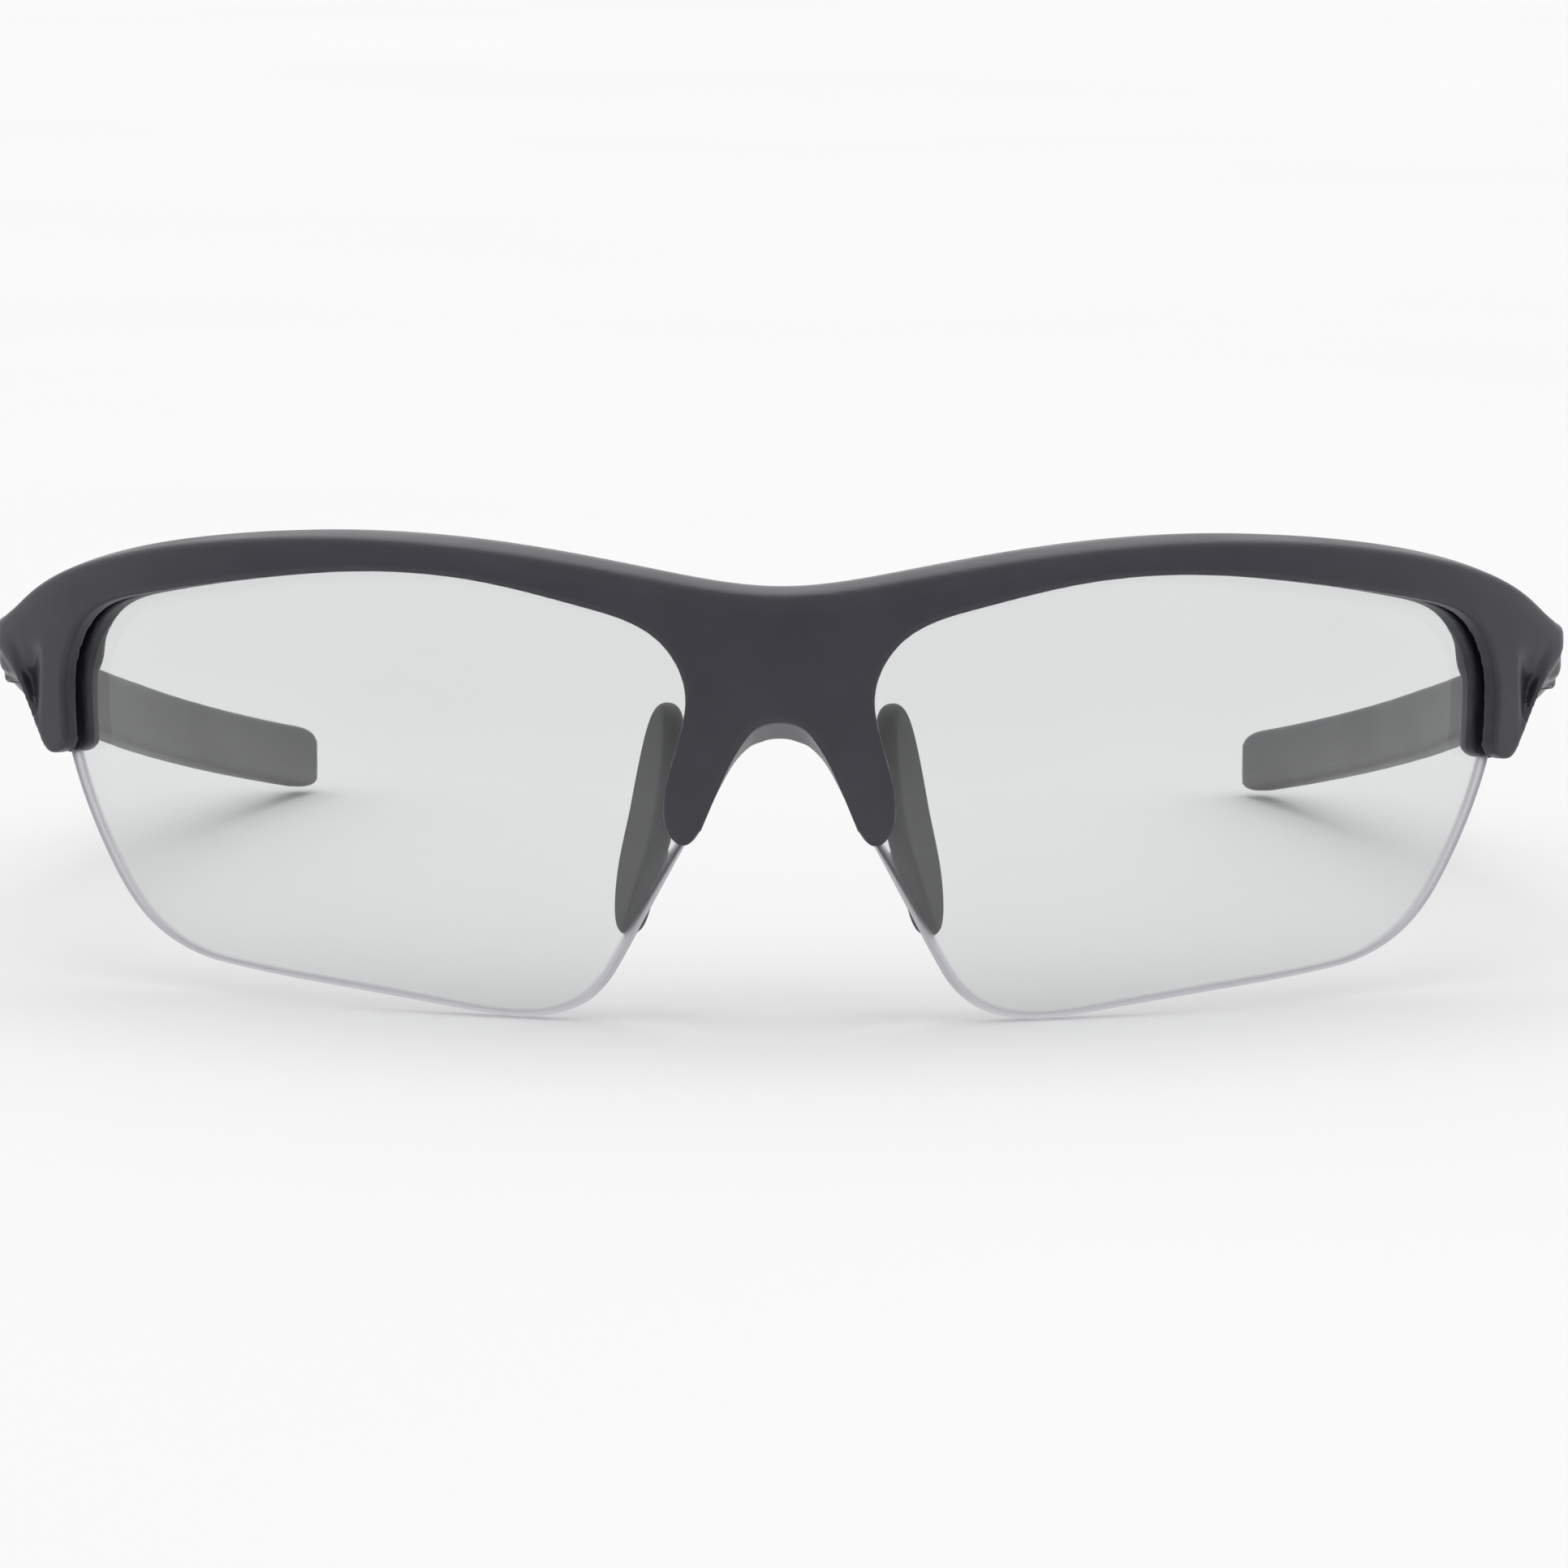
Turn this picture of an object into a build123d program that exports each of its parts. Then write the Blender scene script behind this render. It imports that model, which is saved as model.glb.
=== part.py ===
from build123d import *
import math
import os

# Wraparound half-rim sport glasses, stored standing on the lens bottoms and the two temple tips.
# X runs across the face, -Y is the front, +Z is up, and the floor is Z = 0. Everything is in mm.

# ---------------------------------------------------------------- the wrapped front
bridge_y = -72.6             # frontmost part of the bridge
lens_axis_z = 21.71          # height of the lenses' optical axis above the floor, at the bridge
front_tilt = 5.0             # the front leans back by this many degrees as it stands
frame_front_radius = 91.0    # every curved face of the front is a sphere about one centre
frame_back_radius = 85.0
lens_front_radius = 89.1
lens_thickness = 2.0
groove_play = 0.06           # gap between a lens face and the groove that holds it
pocket_growth = 1.004        # the groove's outline is the lens outline, this much larger
wall_line_depth = 115.0      # edge walls converge on an upright line this far behind the bridge
arch_fall = 1.8              # the nose arch drops by this much between the front and the back face
scoop_depth = 1.1            # hollow pressed into each swept end of the front

# ---------------------------------------------------------------- hinges and temples
hinge_x = 67.6
hinge_y = bridge_y + 39.7
hinge_z = 27.25
hinge_lean = 15.0            # top of the hinge pin leans back; the temples leave square to it
lug_radius = 2.0
lug_half_height = 2.65
tongue_half_height = 1.2
tongue_root = 1.0            # the tongue is sunk this far into the temple
hinge_gap = 0.15             # between the tongue and each lug, along the pin
sweep_gap = 0.3              # between parts that swing past each other
pin_radius = 0.7
pin_running_gap = 0.05
lug_bore_gap = 0.02
screw_head_radius = 1.2
screw_head_height = 0.6
slot_width = 0.3
nut_across_flats = 2.2
nut_height = 0.75
screw_end_gap = 0.1          # the screw and the nut stop this short of the lugs' outer faces
block_inner = -9.0           # the hinge block's reach inwards and forwards from the pin
block_front = -9.0
block_setback = 0.6          # the block starts this far behind the front face
block_slope = math.radians(60)   # where the block's inner side leaves the round lug, for the folding root
temple_outer = 2.1           # outer face of the temple, from the pin, at the hinge
temple_front = 2.3           # square front end of the temple, behind the pin
butt_gap = 0.25
clearing = 40.0              # longer than anything that is cut near the hinge
temple_reach = 108.0         # pin to the end of the temple
temple_bow_in = 18.0         # how far the tip has curved in towards the head
temple_rise = 1.6            # how far the tip stands above square to the pin, from the straight part of the line
temple_lift = 2.55           # and how much higher still it has curved up
temple_thickness = 3.3
temple_heights = (5.3, 6.7, 6.6)   # at the hinge, half way along, and at the tip
tang_heights = (3.0, 3.8, 3.0)
outer_edge_round = 1.6
inner_edge_round = 0.9
grip_start = 28.0            # the soft sleeve begins this far behind the pin
grip_seam = 0.12
root_end = 16.0              # the thicker root has faded out here
root_half_height = 2.2
tip_lower_round = 0.29       # rounded corners of the tip, as parts of its height
tip_upper_round = 0.38
tang_end = 100.0             # the hard temple runs on inside the sleeve as a thin tang
tang_thickness = 1.7
wire_radius = 0.45
wire_start = 12.0
wire_end = 96.0

# ---------------------------------------------------------------- nose pads
pad_x = 11.0
pad_y = bridge_y + 10.6
pad_z = 16.6
pad_splay = 27.0             # pads open out towards the face
pad_cant = 11.0              # and spread apart downwards
pad_half_height = 10.1
pad_half_depth = 4.4
pad_half_thickness = 1.1
core_width = 3.0
core_thickness = 0.8
core_front = -7.0            # the core's ends, from the pad's middle, and how high it sits
core_back = 2.0
core_up = 2.0
pad_edge_round = 0.9

tilt = math.radians(front_tilt)
sphere_centre = Vector(
    0,
    bridge_y + frame_front_radius * math.cos(tilt),
    lens_axis_z - frame_front_radius * math.sin(tilt),
)
front_plane = Plane(
    origin=sphere_centre,
    x_dir=(1, 0, 0),
    z_dir=(0, -math.cos(tilt), math.sin(tilt)),
)
wall_line = frame_front_radius - wall_line_depth
blank_back = 28.0            # the two planes that every outline of the front is drawn on
blank_front = 93.0
unit_speed = (1, 1)          # keeps a spline from swinging wide at its ends

lean = math.radians(hinge_lean)
hinge_plane = Plane(
    origin=(hinge_x, hinge_y, hinge_z),
    x_dir=(1, 0, 0),
    z_dir=(0, math.sin(lean), math.cos(lean)),
)


# ================================================================ outlines of the front
def narrowed(points, height, radius=frame_front_radius):
    """Carry front-view points (x, up) of a sphere along their edge walls to the plane at this height."""
    carried = []
    for x, up in points:
        on_sphere = math.sqrt(radius**2 - x**2 - up**2)
        carried.append((x * (height - wall_line) / (on_sphere - wall_line), up))
    return carried


def frame_outline(height):
    """Half of the frame's front view: brow, swept beak, ear, eye edge and nose leg."""
    top = [
        (0, 16.1), (11.3, 17.5), (22.6, 19.4), (38, 20.6),
        (51.5, 19.6), (59.5, 17.8), (66.4, 14.8), (69.5, 12.6),
    ]
    beak = [(69.5, 12.6), (70.2, 11.2), (69.6, 9.6)]
    web = [(69.6, 9.6), (67.4, 6.3), (65.2, 1.6), (64.2, 0.5)]
    ear_foot = [(64.2, 0.5), (62.8, 0.6)]
    eye_edge = [
        (62.8, 0.6), (62.9, 8.4), (60.6, 13.3), (56, 14.9), (46, 16.2),
        (36, 17.0), (26, 16.3), (16.9, 14.2), (10.3, 11.3), (8.1, 7.2),
    ]
    leg = [(8.1, 7.2), (8.6, 3.2), (9.9, -2.6), (9.2, -5.2), (7.4, -5.9)]
    with BuildSketch(front_plane.offset(height)) as outline:
        with BuildLine():
            Spline(narrowed(top, height), tangents=[(1, 0), (0.75, -0.66)], tangent_scalars=unit_speed)
            Spline(narrowed(beak, height), tangents=[(0.75, -0.66), (-0.6, -0.8)], tangent_scalars=unit_speed)
            Spline(narrowed(web, height), tangents=[(-0.6, -0.8), (-0.9, -0.4)], tangent_scalars=unit_speed)
            Line(narrowed(ear_foot, height))
            Spline(narrowed(eye_edge, height), tangents=[(0, 1), (-0.15, -1)], tangent_scalars=unit_speed)
            Spline(narrowed(leg, height), tangents=[(-0.15, -1), (-1, -0.1)], tangent_scalars=unit_speed)
            Polyline(narrowed([(7.4, -5.9), (0, -5.9), (0, 16.1)], height))
        make_face()
    return outline.sketch


def lens_outline(height, growth=1.0):
    """Front view of one lens; the upper part is hidden in the frame's groove."""
    middle_x = 35.0
    middle_up = -1.0

    def placed(points):
        grown = []
        for x, up in points:
            grown.append((middle_x + (x - middle_x) * growth, middle_up + (up - middle_up) * growth))
        return narrowed(grown, height, lens_front_radius)

    top = placed([
        (7.2, 7.0), (8.6, 11.4), (14.5, 15.0), (26, 17.6), (37, 18.2),
        (48, 17.4), (57.5, 16.2), (62.6, 13.2), (63.9, 7.5),
    ])
    outer = placed([(63.9, 7.5), (62.6, 0.2), (59.1, -8.4), (55.2, -14.0), (48.8, -17.2)])
    bottom = placed([(48.8, -17.2), (37, -19.0), (27.5, -20.4), (20.6, -20.9), (16.9, -19.8), (14.1, -16.9)])
    nose = placed([(14.1, -16.9), (7.9, -5.6)])
    nose_rise = placed([(7.9, -5.6), (7.0, 0.6), (7.2, 7.0)])
    with BuildSketch(front_plane.offset(height)) as outline:
        with BuildLine():
            Spline(top, tangents=[(0.1, 1), (-0.05, -1)], tangent_scalars=unit_speed)
            Spline(outer, tangents=[(-0.05, -1), (-1, -0.2)], tangent_scalars=unit_speed)
            Spline(bottom, tangents=[(-1, -0.2), (-0.52, 0.85)], tangent_scalars=unit_speed)
            Line(nose)
            Spline(nose_rise, tangents=[(-0.5, 0.87), (0.1, 1)], tangent_scalars=unit_speed)
        make_face()
    return outline.sketch


def pocket_outline(height):
    return lens_outline(height, pocket_growth)


def spherical_slice(draw_outline, outer_radius, inner_radius):
    """The layer between two spheres that lies inside one front-view outline."""
    with BuildPart() as blank:
        add(draw_outline(blank_back))
        add(draw_outline(blank_front))
        loft(ruled=True)
    with BuildPart() as layer:
        with Locations(sphere_centre):
            Sphere(outer_radius)
            Sphere(inner_radius, mode=Mode.SUBTRACT)
        add(blank.part, mode=Mode.INTERSECT)
    return layer.part


def arch_outline(height, drop):
    """Half of the nose arch, closed well below the legs."""
    edge = [
        (0, 4.7 - drop), (1.7, 4.35 - drop), (2.9, 3.2 - 0.7 * drop), (4.2, 1.0 - 0.35 * drop),
        (5.6, -2.1 - 0.1 * drop), (7.2, -6.0), (8.4, -9.0),
    ]
    with BuildSketch(front_plane.offset(height)) as outline:
        with BuildLine():
            Spline(edge, tangents=[(1, 0), (0.4, -1)], tangent_scalars=unit_speed)
            Polyline((8.4, -9.0), (0, -9.0), (0, 4.7 - drop))
        make_face()
    return outline.sketch


# ================================================================ lens
lens_back_radius = lens_front_radius - lens_thickness
with BuildPart() as lens_left:
    add(spherical_slice(lens_outline, lens_front_radius, lens_back_radius))

with BuildPart() as lens_pocket:
    add(spherical_slice(pocket_outline, lens_front_radius + groove_play, lens_back_radius - groove_play))

# ================================================================ front frame, wearer's left half
arch_front = frame_front_radius
arch_back = frame_back_radius - 2.0
with BuildPart() as nose_arch:
    add(arch_outline(arch_front, 0))
    arch_drop = arch_fall * (arch_front - arch_back) / (frame_front_radius - frame_back_radius)
    add(arch_outline(arch_back, arch_drop))
    loft(ruled=True)

with BuildPart() as scoop:
    with BuildSketch(front_plane.offset(blank_back)):
        with BuildLine():
            Polyline((65.0, 11.2), (68.9, 10.4), (65.2, 3.2), close=True)
        make_face()
    extrude(amount=blank_front - blank_back)
    with Locations(sphere_centre):
        Sphere(frame_front_radius - scoop_depth, mode=Mode.SUBTRACT)

with BuildPart() as front_half:
    add(spherical_slice(frame_outline, frame_front_radius, frame_back_radius))
    add(nose_arch.part, mode=Mode.SUBTRACT)

with BuildPart() as hinge_block:
    with BuildSketch(hinge_plane.offset(-lug_half_height)):
        with BuildLine():
            Polyline(
                (block_inner, block_front),
                (temple_outer, block_front),
                (temple_outer, temple_front - butt_gap),
                (0, temple_front - butt_gap),
                (0, 0),
                (-lug_radius * math.cos(block_slope), -lug_radius * math.sin(block_slope)),
                (block_inner, block_front + 1.0),
                close=True,
            )
        make_face()
        Circle(lug_radius)
    extrude(amount=2 * lug_half_height)
    outer_edges = edges().filter_by(
        lambda edge: abs(hinge_plane.to_local_coords(edge.center()).X - temple_outer) < lug_bore_gap
    )
    fillet(outer_edges.filter_by(Axis(hinge_plane.origin, hinge_plane.y_dir)), outer_edge_round)
    with Locations(sphere_centre):
        Sphere(frame_front_radius - block_setback, mode=Mode.INTERSECT)

with BuildPart() as front_half_ready:
    add(front_half.part)
    add(hinge_block.part)
    # nothing of the front reaches behind the square end of the temple
    with BuildSketch(hinge_plane.offset(-clearing / 2)):
        with Locations((0, temple_front - butt_gap + clearing / 4)):
            Rectangle(clearing, clearing / 2)
    extrude(amount=clearing, mode=Mode.SUBTRACT)
    # room for the tongue to turn in, open to the back for the worn position and inwards for the folded one
    with BuildSketch(hinge_plane.offset(-tongue_half_height - hinge_gap)):
        Circle(lug_radius + sweep_gap)
        with Locations((0, lug_radius)):
            Rectangle(2 * (lug_radius + sweep_gap), 2 * lug_radius)
        with Locations((-lug_radius, 0)):
            Rectangle(2 * lug_radius, 2 * (lug_radius + sweep_gap))
    extrude(amount=2 * (tongue_half_height + hinge_gap), mode=Mode.SUBTRACT)
    # screw: plain bore, recess for the head on top, hexagonal pocket for the nut below
    with BuildSketch(hinge_plane.offset(-lug_half_height)):
        Circle(pin_radius + lug_bore_gap)
    extrude(amount=2 * lug_half_height, mode=Mode.SUBTRACT)
    with BuildSketch(hinge_plane.offset(lug_half_height - screw_head_height)):
        Circle(screw_head_radius + lug_bore_gap)
    extrude(amount=screw_head_height + clearing, mode=Mode.SUBTRACT)
    with BuildSketch(hinge_plane.offset(-lug_half_height)):
        RegularPolygon(nut_across_flats / 2 + lug_bore_gap, 6, major_radius=False)
    extrude(amount=nut_height, mode=Mode.SUBTRACT)
    add(lens_pocket.part, mode=Mode.SUBTRACT)
    add(scoop.part, mode=Mode.SUBTRACT)


# ================================================================ hinge screw and nut
with BuildPart() as hinge_screw_left:
    with BuildSketch(hinge_plane.offset(-lug_half_height + screw_end_gap)):
        Circle(pin_radius)
    extrude(amount=2 * (lug_half_height - screw_end_gap))
    with BuildSketch(hinge_plane.offset(lug_half_height - screw_head_height + lug_bore_gap)):
        Circle(screw_head_radius)
    extrude(amount=screw_head_height - screw_end_gap)
    with BuildSketch(hinge_plane.offset(lug_half_height - screw_head_height / 2)):
        Rectangle(4 * screw_head_radius, slot_width)
    extrude(amount=screw_head_height, mode=Mode.SUBTRACT)

with BuildPart() as hinge_nut_left:
    with BuildSketch(hinge_plane.offset(-lug_half_height + screw_end_gap)):
        RegularPolygon(nut_across_flats / 2, 6, major_radius=False)
        Circle(pin_radius + lug_bore_gap, mode=Mode.SUBTRACT)
    extrude(amount=nut_height - screw_end_gap - lug_bore_gap)


# ================================================================ temples
side_plane = Plane(origin=hinge_plane.origin, x_dir=hinge_plane.y_dir, z_dir=hinge_plane.x_dir)


def temple_middle(along):
    """Sideways and upward place of the temple's middle line, at a distance behind the pin."""
    part_way = along / temple_reach
    sideways = temple_outer - temple_thickness / 2 - temple_bow_in * part_way**2
    upward = temple_rise * part_way + temple_lift * part_way**2
    return sideways, upward


def height_at(along, heights):
    """Height of a temple bar: two straight tapers that meet half way along."""
    half_way = temple_reach / 2
    if along < half_way:
        return heights[0] + (heights[1] - heights[0]) * along / half_way
    return heights[1] + (heights[2] - heights[1]) * (along - half_way) / half_way


def temple_bar(start, end, thickness, heights):
    """A bar along the temple's middle line: its plan and its side view, crossed with each other."""
    stations = [start + (end - start) * step / 5 for step in range(6)]
    outer = [(temple_middle(y)[0] + thickness / 2, y) for y in stations]
    inner = [(temple_middle(y)[0] - thickness / 2, y) for y in stations]
    upper = [(y, temple_middle(y)[1] + height_at(y, heights) / 2) for y in stations]
    lower = [(y, temple_middle(y)[1] - height_at(y, heights) / 2) for y in stations]
    with BuildPart() as bar:
        with BuildSketch(hinge_plane.offset(-clearing / 2)):
            with BuildLine():
                Spline(outer)
                Line(outer[-1], inner[-1])
                Spline(inner)
                Line(inner[0], outer[0])
            make_face()
        extrude(amount=clearing)
        with BuildSketch(side_plane.offset(-clearing)):
            with BuildLine():
                Spline(upper)
                Line(upper[-1], lower[-1])
                Spline(lower)
                Line(lower[0], upper[0])
            make_face()
            fillet(vertices().sort_by(Axis.X)[-2:].sort_by(Axis.Y)[0], heights[-1] * tip_lower_round)
            fillet(vertices().sort_by(Axis.X)[-1:], heights[-1] * tip_upper_round)
        extrude(amount=2 * clearing, mode=Mode.INTERSECT)
    return bar.part


def is_outer_edge(edge):
    """The two long edges of a temple bar that face away from the head."""
    place = hinge_plane.to_local_coords(edge.center())
    return edge.length > temple_reach / 2 and place.X > temple_middle(place.Y)[0]


def is_inner_edge(edge):
    place = hinge_plane.to_local_coords(edge.center())
    return edge.length > temple_reach / 2 and place.X < temple_middle(place.Y)[0]


def behind(distance):
    """A block that fills everything further back than this distance behind the pin."""
    with BuildPart() as half_space:
        with BuildSketch(hinge_plane.offset(-clearing / 2)):
            with Locations((0, distance + temple_reach)):
                Rectangle(2 * temple_reach, 2 * temple_reach)
        extrude(amount=clearing)
    return half_space.part


def wire(start, end):
    """The spring wire inside a temple, along its middle line."""
    stations = [start + (end - start) * step / 4 for step in range(5)]
    path_points = [(temple_middle(y)[0], y, temple_middle(y)[1]) for y in stations]
    with BuildPart() as core:
        with BuildLine(hinge_plane) as path:
            Spline(path_points)
        with BuildSketch(Plane(origin=path.line @ 0, z_dir=path.line % 0)):
            Circle(wire_radius)
        sweep()
    return core.part


with BuildPart() as temple_core_left:
    add(wire(wire_start, wire_end))

with BuildPart() as whole_temple:
    add(temple_bar(temple_front, temple_reach, temple_thickness, temple_heights))
    fillet(edges().filter_by(is_inner_edge), inner_edge_round)
    fillet(edges().filter_by(is_outer_edge), outer_edge_round)

with BuildPart() as tang:
    add(temple_bar(grip_start - 1.0, tang_end, tang_thickness, tang_heights))

with BuildPart() as ear_grip_left:
    add(whole_temple.part)
    add(behind(grip_start + grip_seam), mode=Mode.INTERSECT)
    add(tang.part, mode=Mode.SUBTRACT)

with BuildPart() as temple_left:
    add(whole_temple.part)
    add(behind(grip_start), mode=Mode.SUBTRACT)
    add(tang.part)
    # thicker root on the inner side, where the tongue leaves the bar
    with BuildSketch(hinge_plane.offset(-root_half_height)):
        with BuildLine():
            Polyline(
                (-lug_radius, temple_front),
                (temple_outer - temple_thickness + 1, temple_front),
                (temple_outer - temple_thickness + 1, root_end),
                (temple_outer - temple_thickness, root_end),
                close=True,
            )
        make_face()
    extrude(amount=2 * root_half_height)
    with BuildSketch(hinge_plane.offset(-tongue_half_height)):
        Circle(lug_radius)
        with Locations((0, (temple_front + tongue_root) / 2)):
            Rectangle(2 * lug_radius, temple_front + tongue_root)
        Circle(pin_radius + pin_running_gap, mode=Mode.SUBTRACT)
    extrude(amount=2 * tongue_half_height)
    add(temple_core_left.part, mode=Mode.SUBTRACT)


# ================================================================ nose pads
splay = math.radians(pad_splay)
cant = math.radians(pad_cant)
pad_plane = Plane(
    origin=(pad_x, pad_y, pad_z),
    x_dir=(math.sin(splay), math.cos(splay), 0),
    z_dir=(math.cos(splay) * math.cos(cant), -math.sin(splay) * math.cos(cant), math.sin(cant)),
)
with BuildPart() as nose_pad_core_left:
    with BuildSketch(pad_plane.offset(-core_thickness / 2)):
        with Locations(((core_back + core_front) / 2, core_up)):
            Rectangle(core_back - core_front, core_width)
    extrude(amount=core_thickness)

with BuildPart() as nose_pad_left:
    with BuildSketch(pad_plane.offset(-pad_half_thickness)):
        with BuildLine():
            Spline(
                (0.4, pad_half_height), (3.4, 5.0), (pad_half_depth, -2.5), (3.2, -8.2),
                (0.2, -pad_half_height),
                tangents=[(1, 0), (-1, 0)],
                tangent_scalars=unit_speed,
            )
            Spline(
                (0.2, -pad_half_height), (-2.0, -7.6), (-3.4, -1.5), (-2.7, 6.0),
                (0.4, pad_half_height),
                tangents=[(-1, 0), (1, 0)],
                tangent_scalars=unit_speed,
            )
        make_face()
    extrude(amount=2 * pad_half_thickness)
    fillet(edges().filter_by(Axis(pad_plane.origin, pad_plane.z_dir), reverse=True), pad_edge_round)
    add(nose_pad_core_left.part, mode=Mode.SUBTRACT)

# ================================================================ whole front, and the two sides
with BuildPart() as front_frame:
    add(front_half_ready.part)
    add(nose_pad_core_left.part, mode=Mode.SUBTRACT)
    mirror(about=Plane.YZ)

left_parts = {
    "lens": lens_left.part,
    "temple": temple_left.part,
    "ear_grip": ear_grip_left.part,
    "temple_core": temple_core_left.part,
    "hinge_screw": hinge_screw_left.part,
    "hinge_nut": hinge_nut_left.part,
    "nose_pad": nose_pad_left.part,
    "nose_pad_core": nose_pad_core_left.part,
}

os.makedirs("parts", exist_ok=True)
front_frame.part.label = "front_frame"
export_step(front_frame.part, "parts/front_frame.step")
for name, left_part in left_parts.items():
    left_part.label = name + "_left"
    export_step(left_part, f"parts/{name}_left.step")
    with BuildPart() as other_side:
        mirror(left_part, about=Plane.YZ)
    other_side.part.label = name + "_right"
    export_step(other_side.part, f"parts/{name}_right.step")
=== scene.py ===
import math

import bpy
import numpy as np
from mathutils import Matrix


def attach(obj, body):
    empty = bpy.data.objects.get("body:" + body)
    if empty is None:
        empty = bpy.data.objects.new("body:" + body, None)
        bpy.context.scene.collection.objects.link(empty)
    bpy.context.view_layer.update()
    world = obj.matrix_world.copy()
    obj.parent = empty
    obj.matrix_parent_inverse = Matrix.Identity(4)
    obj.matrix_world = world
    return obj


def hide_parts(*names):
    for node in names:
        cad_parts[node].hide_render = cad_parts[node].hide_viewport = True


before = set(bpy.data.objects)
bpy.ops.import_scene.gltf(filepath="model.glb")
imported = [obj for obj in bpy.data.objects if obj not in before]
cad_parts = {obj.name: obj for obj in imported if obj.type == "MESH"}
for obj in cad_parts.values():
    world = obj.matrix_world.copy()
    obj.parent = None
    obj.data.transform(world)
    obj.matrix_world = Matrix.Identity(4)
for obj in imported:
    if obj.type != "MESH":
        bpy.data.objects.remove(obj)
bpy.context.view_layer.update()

# %% [markdown]
# Wraparound sport glasses with clear lenses, a matt dark nylon half-rim front, two nose pads and two
# temples that fold on screws. The design already holds every part at its real place. This lesson gives the
# parts their finished, soft-edged skins, their finishes, a pale studio and a camera.
# Lengths are in millimetres while shapes are worked out, and become metres when a mesh is made.

import openvdb

MM = 0.001
SIDES = {"left": 1, "right": -1}
print("nodes", sorted(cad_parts))

# %% [markdown]
# The wrapped front is a thin layer between two spheres with one centre, cut by an outline drawn as seen from
# the front. So every place on it has three numbers: x sideways, "up" along the leaning front, and the
# distance r from the centre. Edge walls lean in towards an upright line behind the face, as a moulding must
# to come out of its tool.

# %% Driving sizes of the front
BRIDGE_Y = -72.6
LENS_AXIS_Z = 21.71
TILT = math.radians(5.0)
FRONT_R = 91.0
BACK_R = 85.0
LENS_R = 89.1
LENS_THICK = 2.0
WALL_LINE = FRONT_R - 115.0
CENTRE_Y = BRIDGE_Y + FRONT_R * math.cos(TILT)
CENTRE_Z = LENS_AXIS_Z - FRONT_R * math.sin(TILT)


def front_view(x, y, z):
    """A place in mm becomes (sideways, up, depth towards the viewer, distance from the spheres' centre)."""
    dy = y - CENTRE_Y
    dz = z - CENTRE_Z
    up = dy * math.sin(TILT) + dz * math.cos(TILT)
    depth = -dy * math.cos(TILT) + dz * math.sin(TILT)
    return np.abs(x), up, depth, np.sqrt(x**2 + dy**2 + dz**2)


def from_front_view(x, up, depth):
    """The way back: centre plus up times the leaning upright, plus depth times the outward direction."""
    y = CENTRE_Y + up * math.sin(TILT) - depth * math.cos(TILT)
    z = CENTRE_Z + up * math.cos(TILT) + depth * math.sin(TILT)
    return x, y, z


# %% [markdown]
# Outlines are drawn as a draughtsman would: a few points and the direction at both ends, joined by one
# smooth curve. The curve is a chain of cubics whose slope and curvature agree where they meet.

# %% Smooth curves through a few points
def smooth_curve(points, start, end, step=0.2):
    """Cubics through the points: slopes come from one linear system that makes the curvature continuous."""
    p = np.array(points, float)
    t = np.append(0, np.cumsum(np.linalg.norm(np.diff(p, axis=0), axis=1)))
    h = np.diff(t)[:, None]
    n = len(p)
    system = np.eye(n)
    right = np.zeros_like(p)
    right[0] = np.array(start) / np.linalg.norm(start)
    right[-1] = np.array(end) / np.linalg.norm(end)
    rise = np.diff(p, axis=0) / h
    inner = np.arange(1, n - 1)
    system[inner, inner - 1] = h[1:, 0]
    system[inner, inner] = 2 * (h[:-1, 0] + h[1:, 0])
    system[inner, inner + 1] = h[:-1, 0]
    right[1:-1] = 3 * (h[1:] * rise[:-1] + h[:-1] * rise[1:])
    slope = np.linalg.solve(system, right)
    s = np.arange(0, t[-1], step)
    k = np.clip(np.searchsorted(t, s, side="right") - 1, 0, n - 2)
    u = (s - t[k])[:, None] / h[k]
    return (
        (2 * u**3 - 3 * u**2 + 1) * p[k] + (u**3 - 2 * u**2 + u) * h[k] * slope[k]
        + (3 * u**2 - 2 * u**3) * p[k + 1] + (u**3 - u**2) * h[k] * slope[k + 1]
    )


brow_top = smooth_curve(
    [(0, 16.1), (11.3, 17.5), (22.6, 19.4), (38, 20.6), (51.5, 19.9), (59.5, 18.5), (66.4, 15.5),
     (69.5, 12.7)],
    (1, 0), (0.75, -0.66))
beak = smooth_curve([(69.5, 12.7), (70.2, 11.2), (69.6, 9.6)], (0.75, -0.66), (-0.6, -0.8))
web = smooth_curve([(69.6, 9.6), (67.4, 6.3), (65.6, 2.4)], (-0.6, -0.8), (-0.42, -0.9))
ear_foot = smooth_curve([(65.6, 2.4), (64.2, 0.55), (62.8, 1.7)], (-0.42, -0.9), (0, 1))
eye_edge = smooth_curve(
    [(62.8, 1.7), (62.9, 8.4), (60.5, 13.1), (56, 14.7), (46, 16.2), (36, 17.0), (26, 16.3), (16.9, 14.2),
     (10.3, 11.3), (8.1, 7.2)],
    (0, 1), (-0.15, -1))
leg = smooth_curve(
    [(8.1, 7.2), (8.6, 3.2), (9.9, -2.6), (9.5, -4.8), (8.1, -5.9), (7.0, -4.9)],
    (-0.15, -1), (-0.4, 1))
BELOW_NOSE = [(7.0, -4.9), (-7.0, -4.9)]
FRAME_OUTLINE = np.vstack([brow_top, beak, web, ear_foot, eye_edge, leg, BELOW_NOSE, [(-7.0, 16.1)]])

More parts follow.
